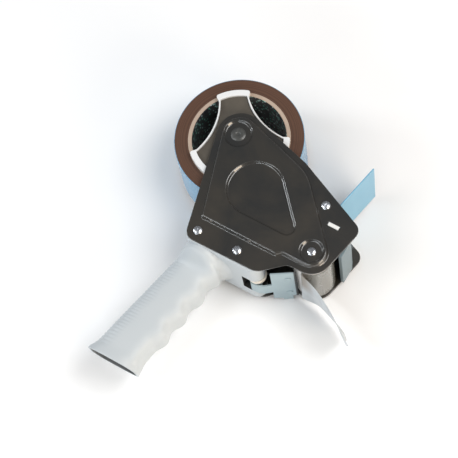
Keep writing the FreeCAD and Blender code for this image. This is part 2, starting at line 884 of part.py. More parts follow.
def carrier_spring():
    low = arm_middle() + arm_width / 2 + loose_fit
    return coil(carrier_axis, carrier_pin_radius + 0.75, 0.4, low, low + carrier_spring_height - loose_fit, 4)


makers = [
    near_side_plate, far_side_plate, near_screws, far_screws, roller_screws, handle,
    hub_axle, hub_bush, hub_drum, hub_spider, friction_washer, spring_washer, tension_spring, tension_knob,
    tape_core, tape_roll, tape_web, tape_tail,
    roller_axle, roller_core, roller_sleeve, roller_bushes, roller_washers,
    front_guard, flap_shaft, flap, flap_spring, flap_washers,
    blade_carrier, blade, blade_rivets, carrier_pin, carrier_spring,
]

os.makedirs("parts", exist_ok=True)
for maker in makers:
    shape = maker()
    solids = shape.Solids
    print(maker.__name__, len(solids), "solids", round(sum(solid.Volume for solid in solids)), "mm3",
          "valid" if shape.isValid() else "INVALID")
    result = solids[0] if len(solids) == 1 else Part.makeCompound(solids)
    result.exportStep("parts/" + maker.__name__ + ".step")
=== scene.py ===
import math
import bmesh
import bpy
from mathutils import Matrix, Vector


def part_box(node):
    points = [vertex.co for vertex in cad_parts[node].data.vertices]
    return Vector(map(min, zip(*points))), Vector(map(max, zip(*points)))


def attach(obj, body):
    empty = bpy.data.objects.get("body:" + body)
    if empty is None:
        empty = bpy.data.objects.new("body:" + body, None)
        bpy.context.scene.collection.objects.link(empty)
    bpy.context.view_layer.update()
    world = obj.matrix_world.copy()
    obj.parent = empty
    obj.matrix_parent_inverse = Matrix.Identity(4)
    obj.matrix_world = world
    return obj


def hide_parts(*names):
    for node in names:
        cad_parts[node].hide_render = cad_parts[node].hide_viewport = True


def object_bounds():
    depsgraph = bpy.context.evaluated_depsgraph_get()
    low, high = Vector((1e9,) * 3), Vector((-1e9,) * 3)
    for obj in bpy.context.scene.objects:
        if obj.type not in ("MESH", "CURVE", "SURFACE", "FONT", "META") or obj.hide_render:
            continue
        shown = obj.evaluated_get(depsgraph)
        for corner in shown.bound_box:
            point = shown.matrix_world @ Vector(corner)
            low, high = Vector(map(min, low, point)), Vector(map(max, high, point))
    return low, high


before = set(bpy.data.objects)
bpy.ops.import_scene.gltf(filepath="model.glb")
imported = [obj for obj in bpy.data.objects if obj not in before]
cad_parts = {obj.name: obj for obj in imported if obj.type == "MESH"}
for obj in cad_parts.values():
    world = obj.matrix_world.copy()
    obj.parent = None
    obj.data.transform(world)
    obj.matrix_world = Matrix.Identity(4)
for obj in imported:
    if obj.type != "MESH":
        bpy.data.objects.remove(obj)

# Tape dispenser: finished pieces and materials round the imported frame.
# Sizes in the dictionaries are millimetres unless a note says otherwise.
cadLow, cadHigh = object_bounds()
scene = bpy.context.scene
mm = 0.001


def deselectAll():
    if bpy.context.mode != "OBJECT":
        bpy.ops.object.mode_set(mode="OBJECT")
    bpy.ops.object.select_all(action="DESELECT")


def makeActive(piece):
    deselectAll()
    piece.select_set(True)
    bpy.context.view_layer.objects.active = piece


def editPiece(piece):
    makeActive(piece)
    bpy.ops.object.mode_set(mode="EDIT")
    bpy.ops.mesh.select_all(action="DESELECT")


def applyModifier(piece, kind, **settings):
    makeActive(piece)
    modifier = piece.modifiers.new(kind.lower(), kind)
    for key, value in settings.items():
        setattr(modifier, key, value)
    bpy.ops.object.modifier_apply(modifier=modifier.name)


def smoothPiece(piece, degrees):
    makeActive(piece)
    bpy.ops.object.shade_smooth_by_angle(angle=math.radians(degrees))
    applyModifier(piece, "WEIGHTED_NORMAL", mode="FACE_AREA", weight=100, keep_sharp=True)


def facesOutwards(piece):
    editPiece(piece)
    bpy.ops.mesh.select_all(action="SELECT")
    bpy.ops.mesh.remove_doubles(threshold=0.002 * mm)
    bpy.ops.mesh.normals_make_consistent(inside=False)
    bpy.ops.object.mode_set(mode="OBJECT")


def settle(piece, name, body, slotName, material, *nodes):
    # name, finish, body and the CAD nodes that the piece stands for
    makeActive(piece)
    bpy.ops.object.transform_apply(location=True, rotation=True, scale=True)
    piece.name = name
    piece.data.name = name
    piece.data.materials.clear()
    piece.data.materials.append(material)
    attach(piece, body)
    if nodes:
        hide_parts(*nodes)
    return piece


def roundEars(piece, reach, rounding):
    # upright corner edges that stand this far from the hub axis
    editPiece(piece)
    bpy.ops.mesh.select_mode(type="EDGE")
    mesh = bmesh.from_edit_mesh(piece.data)
    for edge in mesh.edges:
        first, last = (vertex.co for vertex in edge.verts)
        upright = abs(first.z - last.z) > 0.9 * (first - last).length
        sharp = edge.calc_face_angle(0) > math.radians(50)
        edge.select_set(upright and sharp and Vector(first.xy).length > reach * mm)
    bmesh.update_edit_mesh(piece.data)
    bpy.ops.mesh.bevel(offset=rounding * mm, segments=5, affect="EDGES", clamp_overlap=True)
    bpy.ops.mesh.select_mode(type="VERT")
    bpy.ops.object.mode_set(mode="OBJECT")


def dressNode(look):
    # a merged copy of a CAD node, with its sharp edges rounded over
    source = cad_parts[look["node"]]
    piece = bpy.data.objects.new(look["name"], source.data.copy())
    scene.collection.objects.link(piece)
    editPiece(piece)
    bpy.ops.mesh.select_all(action="SELECT")
    bpy.ops.mesh.remove_doubles(threshold=0.002 * mm)
    bpy.ops.mesh.dissolve_limited(angle_limit=math.radians(0.6))
    bpy.ops.object.mode_set(mode="OBJECT")
    if "ears" in look:
        roundEars(piece, *look["ears"])
    applyModifier(piece, "BEVEL", width=look["edge"] * mm, segments=2, limit_method="ANGLE",
                  angle_limit=math.radians(look.get("corner", 50)), use_clamp_overlap=False)
    smoothPiece(piece, look.get("soft", 40))
    return settle(piece, look["name"], look["body"], look["slot"], look["material"], look["node"])


def growRings(rings):
    # a circle whose rim is extruded from ring to ring, with both ends closed
    deselectAll()
    bpy.ops.mesh.primitive_circle_add(vertices=len(rings[0]), radius=0.01)
    piece = bpy.context.active_object
    bpy.ops.object.mode_set(mode="EDIT")
    mesh = bmesh.from_edit_mesh(piece.data)
    mesh.verts.ensure_lookup_table()
    for vertex, spot in zip(mesh.verts, rings[0]):
        vertex.co = spot
    order = list(range(len(rings[0])))
    bmesh.update_edit_mesh(piece.data)
    bpy.ops.mesh.select_all(action="SELECT")
    bpy.ops.mesh.edge_face_add()
    for spots in rings[1:]:
        bpy.ops.mesh.select_all(action="DESELECT")
        mesh = bmesh.from_edit_mesh(piece.data)
        mesh.verts.ensure_lookup_table()
        old = [mesh.verts[index] for index in order]
        for vertex in old:
            vertex.select_set(True)
        mesh.select_flush(True)
        for face in mesh.faces:
            face.select_set(False)
        for index, vertex in enumerate(old):
            vertex.select_set(True)
            follower = old[(index + 1) % len(old)]
            mesh.edges.get((vertex, follower)).select_set(True)
        bmesh.update_edit_mesh(piece.data)
        bpy.ops.mesh.extrude_edges_move()
        mesh = bmesh.from_edit_mesh(piece.data)
        mesh.verts.ensure_lookup_table()
        before = {index: place for place, index in enumerate(order)}
        order = [0] * len(spots)
        for vertex in [v for v in mesh.verts if v.select]:
            partner = next(e.other_vert(vertex).index for e in vertex.link_edges
                           if e.other_vert(vertex).index in before)
            vertex.co = spots[before[partner]]
            order[before[partner]] = vertex.index
        bmesh.update_edit_mesh(piece.data)
    bpy.ops.mesh.edge_face_add()
    bpy.ops.object.mode_set(mode="OBJECT")
    return piece


def spinProfile(points, centre, steps):
    # (radius, height) points turned about an upright axis; the profile is a closed loop
    deselectAll()
    bpy.ops.mesh.primitive_circle_add(vertices=len(points), radius=0.01)
    piece = bpy.context.active_object
    bpy.ops.object.mode_set(mode="EDIT")
    mesh = bmesh.from_edit_mesh(piece.data)
    mesh.verts.ensure_lookup_table()
    for vertex, (radius, height) in zip(mesh.verts, points):
        vertex.co = Vector((centre.x + radius * mm, centre.y, height * mm))
    bmesh.update_edit_mesh(piece.data)
    bpy.ops.mesh.select_all(action="SELECT")
    bpy.ops.mesh.spin(steps=steps, angle=2 * math.pi, center=(centre.x, centre.y, 0), axis=(0, 0, 1))
    bpy.ops.object.mode_set(mode="OBJECT")
    facesOutwards(piece)
    return piece


def newGroup(name, inputs, outputs):
    group = bpy.data.node_groups.new(name, "ShaderNodeTree")
    for label, kind, value in inputs:
        socket = group.interface.new_socket(label, in_out="INPUT", socket_type=kind)
        if value is not None:
            socket.default_value = value
    for label, kind in outputs:
        group.interface.new_socket(label, in_out="OUTPUT", socket_type=kind)
    start = group.nodes.new("NodeGroupInput")
    end = group.nodes.new("NodeGroupOutput")
    return group, start, end


def addNode(tree, kind, **settings):
    node = tree.nodes.new(kind)
    for key, value in settings.items():
        if key.startswith("in_"):
            label = key[3:]
            node.inputs[int(label) if label.isdigit() else label].default_value = value
        else:
            setattr(node, key, value)
    return node


def mathNode(tree, operation, first, second=None, clamp=False):
    node = addNode(tree, "ShaderNodeMath", operation=operation, use_clamp=clamp)
    for index, value in enumerate((first, second)):
        if value is None:
            continue
        if isinstance(value, (int, float)):
            node.inputs[index].default_value = value
        else:
            tree.links.new(value, node.inputs[index])
    return node.outputs[0]


def mixColour(tree, share, first, second):
    node = addNode(tree, "ShaderNodeMix", data_type="RGBA")
    for label, value in (("Factor", share), ("A", first), ("B", second)):
        socket = node.inputs[label]
        if isinstance(value, (int, float)):
            socket.default_value = value
        elif isinstance(value, tuple):
            socket.default_value = (*value, 1)
        else:
            tree.links.new(value, socket)
    return next(socket for socket in node.outputs if socket.type == "RGBA")


def buildGrain():
    # fine moulded or sprayed texture: a mask and a bumped normal
    group, start, end = newGroup(
        "surfaceGrain",
        [("Vector", "NodeSocketVector", None), ("Scale", "NodeSocketFloat", 900.0),
         ("Depth", "NodeSocketFloat", 0.02), ("Strength", "NodeSocketFloat", 0.3)],
        [("Mask", "NodeSocketFloat"), ("Normal", "NodeSocketVector")])
    noise = addNode(group, "ShaderNodeTexNoise", in_Detail=3.0, in_Roughness=0.55)
    bump = addNode(group, "ShaderNodeBump")
    links = group.links
    links.new(start.outputs["Vector"], noise.inputs["Vector"])
    links.new(start.outputs["Scale"], noise.inputs["Scale"])
    links.new(noise.outputs["Fac"], bump.inputs["Height"])
    links.new(start.outputs["Strength"], bump.inputs["Strength"])
    links.new(mathNode(group, "MULTIPLY", start.outputs["Depth"], 0.001), bump.inputs["Distance"])
    links.new(noise.outputs["Fac"], end.inputs["Mask"])
    links.new(bump.outputs["Normal"], end.inputs["Normal"])
    return group


def buildSmudgeAndSheen():
    # wide soft patches with fine specks, for gloss and tone; on the side plates the warm patches are a
    # painted sheen
    group, start, end = newGroup(
        "handlingSmudgeAndSheen",
        [("Vector", "NodeSocketVector", None), ("Patch", "NodeSocketFloat", 30.0),
         ("Speck", "NodeSocketFloat", 700.0), ("Amount", "NodeSocketFloat", 0.5)],
        [("Mask", "NodeSocketFloat"), ("Specks", "NodeSocketFloat")])
    wide = addNode(group, "ShaderNodeTexNoise", in_Detail=4.0, in_Roughness=0.6, in_Distortion=0.4)
    fine = addNode(group, "ShaderNodeTexNoise", in_Detail=1.0)
    links = group.links
    for node, label in ((wide, "Patch"), (fine, "Speck")):
        links.new(start.outputs["Vector"], node.inputs["Vector"])
        links.new(start.outputs[label], node.inputs["Scale"])
    spread = addNode(group, "ShaderNodeMapRange")
    spread.inputs["From Min"].default_value = 0.35
    spread.inputs["From Max"].default_value = 0.68
    links.new(wide.outputs["Fac"], spread.inputs["Value"])
    patches = mathNode(group, "MULTIPLY", spread.outputs["Result"], start.outputs["Amount"])
    links.new(patches, end.inputs["Mask"])
    cut = addNode(group, "ShaderNodeMapRange")
    cut.inputs["From Min"].default_value = 0.66
    cut.inputs["From Max"].default_value = 0.74
    links.new(fine.outputs["Fac"], cut.inputs["Value"])
    links.new(cut.outputs["Result"], end.inputs["Specks"])
    return group


def buildRings():
    # rings about the hub axis, as on the edge of wound tape or card
    group, start, end = newGroup(
        "woundRings",
        [("Vector", "NodeSocketVector", None), ("Pitch", "NodeSocketFloat", 0.5),
         ("Streak", "NodeSocketFloat", 6.0)],
        [("Radius", "NodeSocketFloat"), ("Layers", "NodeSocketFloat"), ("Streaks", "NodeSocketFloat")])
    links = group.links
    split = addNode(group, "ShaderNodeSeparateXYZ")
    links.new(start.outputs["Vector"], split.inputs[0])
    square = mathNode(group, "ADD", mathNode(group, "MULTIPLY", split.outputs[0], split.outputs[0]),
                      mathNode(group, "MULTIPLY", split.outputs[1], split.outputs[1]))
    radius = mathNode(group, "SQRT", square)
    links.new(radius, end.inputs["Radius"])
    turns = mathNode(group, "DIVIDE", mathNode(group, "MULTIPLY", radius, 1000.0), start.outputs["Pitch"])
    layers = addNode(group, "ShaderNodeTexNoise", noise_dimensions="1D", in_Scale=1.0, in_Detail=4.0,
                     in_Roughness=0.75)
    links.new(turns, layers.inputs["W"])
    links.new(layers.outputs["Fac"], end.inputs["Layers"])
    flat = addNode(group, "ShaderNodeCombineXYZ")
    for index in (0, 1):
        links.new(mathNode(group, "DIVIDE", split.outputs[index], radius), flat.inputs[index])
    streaks = addNode(group, "ShaderNodeTexNoise", in_Detail=5.0, in_Roughness=0.7)
    links.new(flat.outputs[0], streaks.inputs["Vector"])
    links.new(start.outputs["Streak"], streaks.inputs["Scale"])
    links.new(streaks.outputs["Fac"], end.inputs["Streaks"])
    return group


def buildBrushed():
    # long fine lines left by rolling or grinding
    group, start, end = newGroup(
        "rolledLines",
        [("Vector", "NodeSocketVector", None), ("Scale", "NodeSocketFloat", 300.0),
         ("Strength", "NodeSocketFloat", 0.15)],
        [("Mask", "NodeSocketFloat"), ("Normal", "NodeSocketVector")])
    links = group.links
    stretch = addNode(group, "ShaderNodeMapping")
    stretch.inputs["Scale"].default_value = (1.0, 1.0, 0.04)
    noise = addNode(group, "ShaderNodeTexNoise", in_Detail=3.0, in_Roughness=0.6)
    bump = addNode(group, "ShaderNodeBump")
    bump.inputs["Distance"].default_value = 0.00003
    links.new(start.outputs["Vector"], stretch.inputs["Vector"])
    links.new(stretch.outputs["Vector"], noise.inputs["Vector"])
    links.new(start.outputs["Scale"], noise.inputs["Scale"])
    links.new(noise.outputs["Fac"], bump.inputs["Height"])
    links.new(start.outputs["Strength"], bump.inputs["Strength"])
    links.new(noise.outputs["Fac"], end.inputs["Mask"])
    links.new(bump.outputs["Normal"], end.inputs["Normal"])
    return group


grainGroup = buildGrain()
smudgeAndSheenGroup = buildSmudgeAndSheen()
ringGroup = buildRings()
brushGroup = buildBrushed()


def startMaterial(name, finish):
    material = bpy.data.materials.new(name)
    material.use_nodes = True
    tree = material.node_tree
    shader = tree.nodes["Principled BSDF"]
    shader.inputs["Base Color"].default_value = (*finish["colour"], 1)
    shader.inputs["Roughness"].default_value = finish["rough"]
    shader.inputs["Metallic"].default_value = finish.get("metal", 0.0)
    shader.inputs["Specular IOR Level"].default_value = finish.get("specular", 0.5)
    shader.inputs["Coat Weight"].default_value = finish.get("coat", 0.0)
    shader.inputs["Coat Roughness"].default_value = finish.get("coatRough", 0.1)
    shader.inputs["Coat IOR"].default_value = finish.get("coatIor", 1.5)
    coords = addNode(tree, "ShaderNodeTexCoord")
    return material, tree, shader, coords.outputs["Object"]


def useGroup(tree, group, vector, **values):
    node = tree.nodes.new("ShaderNodeGroup")
    node.node_tree = group
    tree.links.new(vector, node.inputs["Vector"])
    for label, value in values.items():
        node.inputs[label].default_value = value
    return node


def makeFinish(name, finish):
    # one colour with tone patches, specks, a gloss that varies and a fine surface texture
    material, tree, shader, spots = startMaterial(name, finish)
    links = tree.links
    smudgeAndSheen = useGroup(tree, smudgeAndSheenGroup, spots, Patch=finish.get("patch", 28.0),
                      Speck=finish.get("speck", 700.0), Amount=finish.get("smudgeAndSheen", 0.5))
    tone = mixColour(tree, smudgeAndSheen.outputs["Mask"], finish["colour"], finish["wornAndSheen"])
    speckColour = finish.get("speckColour", finish["wornAndSheen"])
    share = mathNode(tree, "MULTIPLY", smudgeAndSheen.outputs["Specks"], finish.get("specks", 0.3))
    specked = mixColour(tree, share, tone, speckColour)
    if finish.get("brushed"):
        surface = useGroup(tree, brushGroup, spots, Scale=finish["brushed"], Strength=finish.get("bump", 0.2))
        streak = addNode(tree, "ShaderNodeMapRange")
        streak.inputs["From Min"].default_value = 0.4
        streak.inputs["From Max"].default_value = 0.62
        links.new(surface.outputs["Mask"], streak.inputs["Value"])
        amount = mathNode(tree, "MULTIPLY", streak.outputs["Result"], finish.get("streaks", 0.2))
        specked = mixColour(tree, amount, specked, finish.get("streakColour", finish["wornAndSheen"]))
    else:
        surface = useGroup(tree, grainGroup, spots, Scale=finish.get("grain", 900.0),
                           Depth=finish.get("depth", 0.02), Strength=finish.get("bump", 0.3))
    links.new(specked, shader.inputs["Base Color"])
    links.new(surface.outputs["Normal"], shader.inputs["Normal"])
    swing = mathNode(tree, "MULTIPLY", surface.outputs["Mask"], finish.get("swing", 0.12))
    rough = mathNode(tree, "ADD", swing, finish["rough"] - 0.5 * finish.get("swing", 0.12))
    links.new(mathNode(tree, "ADD", rough, mathNode(tree, "MULTIPLY", smudgeAndSheen.outputs["Mask"], 0.08)),
              shader.inputs["Roughness"])
    return material


def splitSpots(material):
    # x, y and z of a point in the piece's own frame
    tree = material.node_tree
    coords = next(node for node in tree.nodes if node.type == "TEX_COORD")
    split = addNode(tree, "ShaderNodeSeparateXYZ")
    tree.links.new(coords.outputs["Object"], split.inputs[0])
    return tree, split.outputs


def tintWhere(material, mask, tone):
    # a second colour over the finish, where the mask is high
    tree = material.node_tree
    colour = tree.nodes["Principled BSDF"].inputs["Base Color"]
    tree.links.new(mixColour(tree, mask, colour.links[0].from_socket, tone), colour)


def paintHollowShade(material, tone):
    # painted shade darkens the inside of the hollow butt
    mask = addNode(material.node_tree, "ShaderNodeAttribute", attribute_name="inHollow")
    tintWhere(material, mask.outputs["Fac"], tone)


def darkenSlot(material, look):
    # the shaded walls of the arm's slot in the handle's nose
    tree, spots = splitSpots(material)
    along = mathNode(tree, "GREATER_THAN", spots[0], look["start"] * mm)
    middle = (look["low"] + look["high"]) / 2 * mm
    offset = mathNode(tree, "ABSOLUTE", mathNode(tree, "SUBTRACT", spots[2], middle))
    reach = ((look["high"] - look["low"]) / 2 + look["margin"]) * mm
    within = mathNode(tree, "MULTIPLY", along, mathNode(tree, "LESS_THAN", offset, reach))
    tintWhere(material, within, look["tone"])


def shadeRoot(material, look):
    # painted brown shade on the loose film where it leaves the blade, strongest near the blade and towards
    # the near edge
    tree, spots = splitSpots(material)
    front = mathNode(tree, "SUBTRACT", look["front"], spots[0])
    upper = mathNode(tree, "SUBTRACT", spots[2], look["low"])
    near = mathNode(tree, "MULTIPLY", front, look["frontSlope"], True)
    high = mathNode(tree, "MULTIPLY", upper, look["lowSlope"], True)
    share = mathNode(tree, "MULTIPLY", mathNode(tree, "MULTIPLY", near, high), look["share"])
    tintWhere(material, share, look["tone"])


def paleAbove(material, level, tone):
    # painted light: the guard's upward-facing tab, where it stands in the plate's slot, is painted pale
    tree, spots = splitSpots(material)
    tintWhere(material, mathNode(tree, "GREATER_THAN", spots[2], level * mm), tone)


def makeWoundTape(look):
    # brown layered edge, and the smooth outermost turn of film, painted blue as a reflection of blue light
    material, tree, shader, spots = startMaterial("woundTape", look)
    links = tree.links
    rings = useGroup(tree, ringGroup, spots, Pitch=look["pitch"], Streak=look["streak"])
    edge = mixColour(tree, rings.outputs["Layers"], look["dark"], look["light"])
    share = mathNode(tree, "MULTIPLY", rings.outputs["Streaks"], look["streakShare"])
    streaked = mixColour(tree, share, edge, look["colour"])
    outside = mathNode(tree, "GREATER_THAN", rings.outputs["Radius"], look["outerRadius"] * mm)
    smudgeAndSheen = useGroup(tree, smudgeAndSheenGroup, spots, Patch=60.0, Speck=900.0, Amount=0.6)
    # painted blue reflection on the outermost turn, in soft patches
    film = mixColour(tree, smudgeAndSheen.outputs["Mask"], look["film"], look["filmPaleReflection"])
    links.new(mixColour(tree, outside, streaked, film), shader.inputs["Base Color"])
    matt = mathNode(tree, "MULTIPLY", mathNode(tree, "SUBTRACT", 1.0, outside), 0.3)
    links.new(mathNode(tree, "ADD", matt, look["rough"]), shader.inputs["Roughness"])
    bump = addNode(tree, "ShaderNodeBump")
    bump.inputs["Strength"].default_value = 0.35
    bump.inputs["Distance"].default_value = 0.00015
    flatEdge = mathNode(tree, "MULTIPLY", rings.outputs["Layers"], mathNode(tree, "SUBTRACT", 1.0, outside))
    links.new(flatEdge, bump.inputs["Height"])
    links.new(bump.outputs["Normal"], shader.inputs["Normal"])
    return material


def makeCard(look):
    # wound tan card; the bore carries a dark printed liner with small coloured flecks
    material, tree, shader, spots = startMaterial("windingCard", look)
    links = tree.links
    rings = useGroup(tree, ringGroup, spots, Pitch=0.9, Streak=9.0)
    fibre = useGroup(tree, grainGroup, spots, Scale=1400.0, Depth=0.05, Strength=0.4)
    card = mixColour(tree, rings.outputs["Layers"], look["dark"], look["light"])
    card = mixColour(tree, mathNode(tree, "MULTIPLY", fibre.outputs["Mask"], 0.35), card, look["colour"])
    cells = addNode(tree, "ShaderNodeTexVoronoi", in_Scale=look["fleckScale"], in_Randomness=1.0)
    squeeze = addNode(tree, "ShaderNodeMapping")
    squeeze.inputs["Scale"].default_value = (1.0, 1.0, 0.55)
    squeeze.inputs["Rotation"].default_value = (0.2, 0.1, 0.0)
    links.new(spots, squeeze.inputs["Vector"])
    links.new(squeeze.outputs["Vector"], cells.inputs["Vector"])
    near = addNode(tree, "ShaderNodeMapRange")
    near.inputs["From Min"].default_value = 0.42
    near.inputs["From Max"].default_value = 0.28
    links.new(cells.outputs["Distance"], near.inputs["Value"])
    split = addNode(tree, "ShaderNodeSeparateColor")
    links.new(cells.outputs["Color"], split.inputs[0])
    chosen = mathNode(tree, "GREATER_THAN", split.outputs[0], look["fleckShare"])
    fleck = mathNode(tree, "MULTIPLY", near.outputs["Result"], chosen)
    hue = mixColour(tree, split.outputs[1], look["fleckA"], look["fleckB"])
    liner = mixColour(tree, fleck, look["liner"], hue)
    inside = mathNode(tree, "LESS_THAN", rings.outputs["Radius"], look["boreRadius"] * mm)
    links.new(mixColour(tree, inside, card, liner), shader.inputs["Base Color"])
    links.new(mathNode(tree, "SUBTRACT", look["rough"], mathNode(tree, "MULTIPLY", inside, 0.35)),
              shader.inputs["Roughness"])
    links.new(fibre.outputs["Normal"], shader.inputs["Normal"])
    return material


# the warm brown patch tone of the side plates is a painted warm sheen
plateFinish = {"colour": (0.013, 0.013, 0.012), "wornAndSheen": (0.034, 0.027, 0.018), "rough": 0.30, "coat": 1.0,
               "coatRough": 0.06, "coatIor": 1.75, "patch": 22.0, "smudgeAndSheen": 0.8, "specks": 0.10,
               "grain": 1500.0, "depth": 0.010, "bump": 0.18, "swing": 0.10}
handleFinish = {"colour": (0.52, 0.562, 0.588), "wornAndSheen": (0.56, 0.59, 0.605), "rough": 0.40, "patch": 18.0,
                "smudgeAndSheen": 0.6, "specks": 0.08, "speckColour": (0.48, 0.52, 0.55), "grain": 1900.0,
                "depth": 0.02, "bump": 0.35, "swing": 0.12, "specular": 0.45}
drumFinish = {"colour": (0.80, 0.81, 0.82), "wornAndSheen": (0.86, 0.86, 0.85), "rough": 0.32, "grain": 1300.0,
              "depth": 0.01, "bump": 0.2, "specks": 0.05}
# the drum insert's dark colour is partly its own and partly a painted shadow of the near plate inside the
# drum
spiderFinish = {"colour": (0.075, 0.065, 0.052), "wornAndSheen": (0.11, 0.095, 0.075), "rough": 0.38, "patch": 35.0,
                "smudgeAndSheen": 0.8, "bump": 0.3}
knobFinish = {"colour": (0.02, 0.02, 0.022), "wornAndSheen": (0.035, 0.034, 0.033), "rough": 0.3, "coat": 0.3}
bushFinish = {"colour": (0.68, 0.67, 0.62), "wornAndSheen": (0.62, 0.60, 0.54), "rough": 0.45}
zincFinish = {"colour": (0.74, 0.76, 0.80), "wornAndSheen": (0.60, 0.62, 0.66), "rough": 0.24, "metal": 1.0,
              "patch": 160.0, "grain": 2500.0, "bump": 0.15}
sheetFinish = {"colour": (0.37, 0.47, 0.51), "wornAndSheen": (0.44, 0.54, 0.57), "rough": 0.42, "metal": 0.45,
               "patch": 60.0, "smudgeAndSheen": 0.7, "brushed": 900.0, "bump": 0.25, "swing": 0.16}
bladeFinish = {"colour": (0.05, 0.055, 0.06), "wornAndSheen": (0.12, 0.12, 0.12), "rough": 0.30, "metal": 0.9,
               "brushed": 1400.0, "bump": 0.25}
springFinish = {"colour": (0.42, 0.42, 0.44), "wornAndSheen": (0.30, 0.29, 0.28), "rough": 0.32, "metal": 1.0,
                "brushed": 1100.0, "bump": 0.1}
rivetFinish = {"colour": (0.050, 0.052, 0.050), "wornAndSheen": (0.10, 0.10, 0.095), "rough": 0.36, "coat": 0.3,
               "patch": 120.0, "grain": 1800.0, "bump": 0.25}
# the spring cap's cream is partly its own colour and partly a painted warm highlight
creamFinish = {"colour": (0.74, 0.68, 0.58), "wornAndSheen": (0.80, 0.76, 0.68), "rough": 0.16, "coat": 0.6,
               "coatRough": 0.06, "grain": 900.0, "depth": 0.008, "bump": 0.15, "specks": 0.05}
rubberFinish = {"colour": (0.86, 0.84, 0.82), "wornAndSheen": (0.78, 0.76, 0.73), "rough": 0.62, "grain": 1100.0,
                "depth": 0.04, "bump": 0.5}
guardFinish = {"colour": (0.150, 0.205, 0.230), "wornAndSheen": (0.195, 0.250, 0.275), "rough": 0.40, "patch": 40.0,
               "smudgeAndSheen": 0.6, "grain": 1500.0, "bump": 0.3}
# the flap's blue is partly its own tint and partly a painted reflection of blue light
flapFinish = {"colour": (0.19, 0.42, 0.58), "wornAndSheen": (0.25, 0.48, 0.64), "rough": 0.34, "patch": 26.0,
              "smudgeAndSheen": 0.8, "specks": 0.05, "grain": 1200.0, "bump": 0.2}
filmFinish = {"colour": (0.180, 0.185, 0.172), "wornAndSheen": (0.26, 0.26, 0.24), "rough": 0.24, "patch": 34.0,
              "smudgeAndSheen": 0.8, "specks": 0.0, "brushed": 150.0, "streaks": 0.55,
              "streakColour": (0.120, 0.115, 0.100), "bump": 0.12, "coat": 0.5, "coatRough": 0.12}
tailFinish = {"colour": (0.50, 0.53, 0.55), "wornAndSheen": (0.66, 0.69, 0.71), "rough": 0.36, "patch": 60.0,
              "smudgeAndSheen": 0.9, "specks": 0.0, "brushed": 120.0, "streaks": 0.35,
              "streakColour": (0.38, 0.41, 0.43), "bump": 0.10}
# the film colours here are a painted blue reflection on the roll's outermost turn
woundLook = {"colour": (0.080, 0.035, 0.019), "dark": (0.016, 0.008, 0.005), "light": (0.180, 0.082, 0.045),
             "film": (0.17, 0.37, 0.56), "filmPaleReflection": (0.22, 0.44, 0.62), "rough": 0.22, "pitch": 1.3,
             "streak": 5.0, "streakShare": 0.55, "outerRadius": 52.6, "coat": 0.1}
cardLook = {"colour": (0.50, 0.38, 0.29), "dark": (0.34, 0.25, 0.185), "light": (0.60, 0.48, 0.39),
            "rough": 0.75, "boreRadius": 38.6, "liner": (0.006, 0.007, 0.008), "fleckA": (0.05, 0.30, 0.22),
            "fleckB": (0.36, 0.44, 0.44), "fleckShare": 0.22, "fleckScale": 470.0}

# tone of the painted shade inside the hollow butt
hollowShadeTone = (0.13, 0.135, 0.135)
slotShade = {"start": 57.45, "low": 17.7, "high": 39.3, "margin": 0.05, "tone": (0.045, 0.042, 0.038)}
# painted shade at the root of the loose tail
rootShade = {"front": 0.116, "frontSlope": 100.0, "low": 0.026, "lowSlope": 70.0, "share": 0.8,
             "tone": (0.24, 0.19, 0.145)}            # metres, and shares for each metre
# height and colour of the painted light on the guard's tab
paintedTabLight = (62.6, (0.80, 0.80, 0.78))                 # height and colour

plateMaterial = makeFinish("charcoalLacquer", plateFinish)
handleMaterial = makeFinish("coolGreyMoulding", handleFinish)
paintHollowShade(handleMaterial, hollowShadeTone)
darkenSlot(handleMaterial, slotShade)
drumMaterial = makeFinish("whiteMoulding", drumFinish)
spiderMaterial = makeFinish("darkMouldingAndShade", spiderFinish)
knobMaterial = makeFinish("blackMoulding", knobFinish)
bushMaterial = makeFinish("naturalAcetal", bushFinish)
zincMaterial = makeFinish("zincPlate", zincFinish)
sheetMaterial = makeFinish("brightSheetSteel", sheetFinish)
bladeMaterial = makeFinish("hardenedStrip", bladeFinish)
springMaterial = makeFinish("drawnWire", springFinish)
rivetMaterial = makeFinish("blackenedRivet", rivetFinish)
rubberMaterial = makeFinish("paleRubber", rubberFinish)
guardMaterial = makeFinish("greyGuard", guardFinish)
paleAbove(guardMaterial, *paintedTabLight)
creamMaterial = makeFinish("creamMouldingAndHighlight", creamFinish)
flapMaterial = makeFinish("blueGreySheetAndReflection", flapFinish)
filmMaterial = makeFinish("wrappedFilm", filmFinish)
tailMaterial = makeFinish("looseFilm", tailFinish)
shadeRoot(tailMaterial, rootShade)
woundMaterial = makeWoundTape(woundLook)
cardMaterial = makeCard(cardLook)
print("materials ready")


cameraLook = {"place": (420.8, -486.2, 1426.1), "right": (0.8575, 0.5067, -0.0896),
              "up": (-0.443, 0.8156, 0.3722), "lens": 147.1}
lightAim = (40, -60, 30)
lightLooks = [
    {"name": "lowFront", "place": (0, -1240, 610), "size": (1200, 70), "power": 4.5,
     "tint": (0.90, 0.96, 1.0)},
    {"name": "leftStrip", "place": (-1150, -430, 640), "size": (320, 240), "power": 4.5,
     "tint": (0.93, 0.97, 1.0)},
    {"name": "warmSide", "place": (1150, -250, 420), "size": (520, 620), "power": 7.0,
     "tint": (1.0, 0.84, 0.66)},
    {"name": "highKey", "place": (1000, 500, 1850), "size": (1200, 1200), "power": 26.5,
     "tint": (1.0, 0.99, 0.975)},
    {"name": "highFill", "place": (-900, -1000, 1900), "size": (1100, 1100), "power": 11.5,
     "tint": (0.97, 0.985, 1.0)},
]


